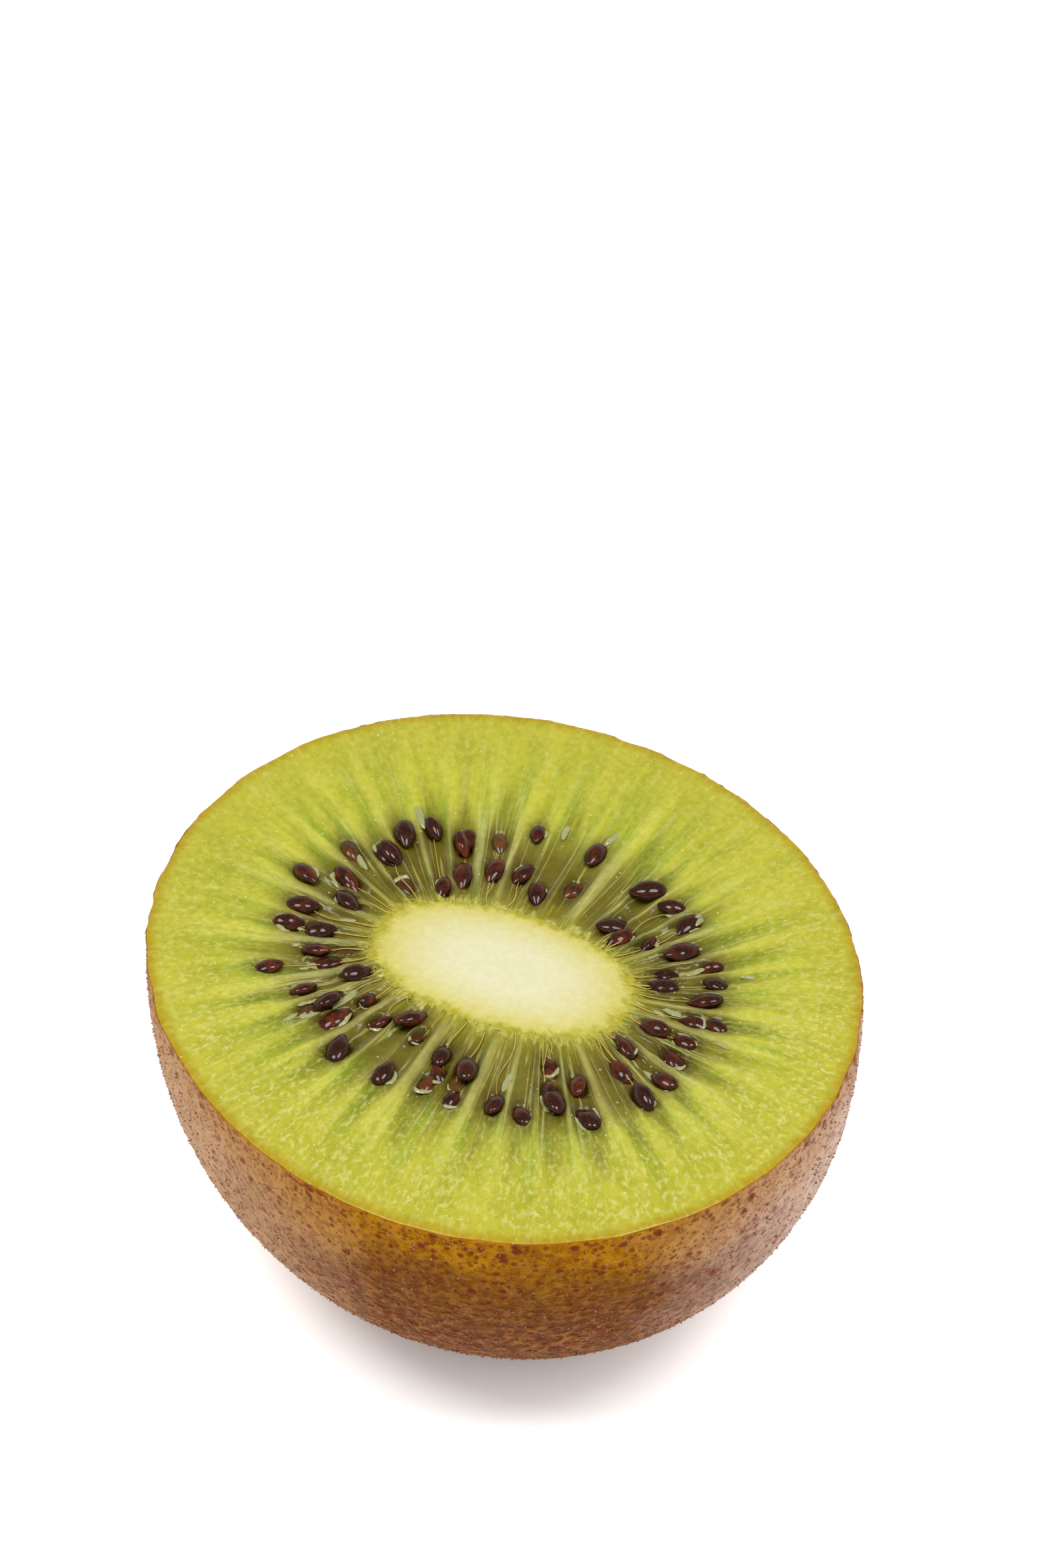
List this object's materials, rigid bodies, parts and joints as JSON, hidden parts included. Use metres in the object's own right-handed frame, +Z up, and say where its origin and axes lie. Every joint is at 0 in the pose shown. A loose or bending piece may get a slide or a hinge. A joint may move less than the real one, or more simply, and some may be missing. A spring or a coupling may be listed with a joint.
{
  "type": "kiwi fruit half",
  "caption": "Half of a kiwi fruit cut across its middle, lying on its round end with the cut face up, as fresh food to serve or arrange.",
  "frame": {"origin": "middle of the small flat spot on the round end, where the half rests", "axes": "+X along the longer width of the oval cut face, +Y along its shorter width, +Z up, out of the cut face"},
  "size_m": [0.0536, 0.0484, 0.0273],
  "materials": {
    "kiwi_flesh": "satin",
    "kiwi_core": "satin",
    "kiwi_skin": "matte",
    "kiwi_seed": "gloss"
  },
  "bodies": {
    "root": {"kiwi_half": "kiwi_flesh"}
  },
  "joints": []
}
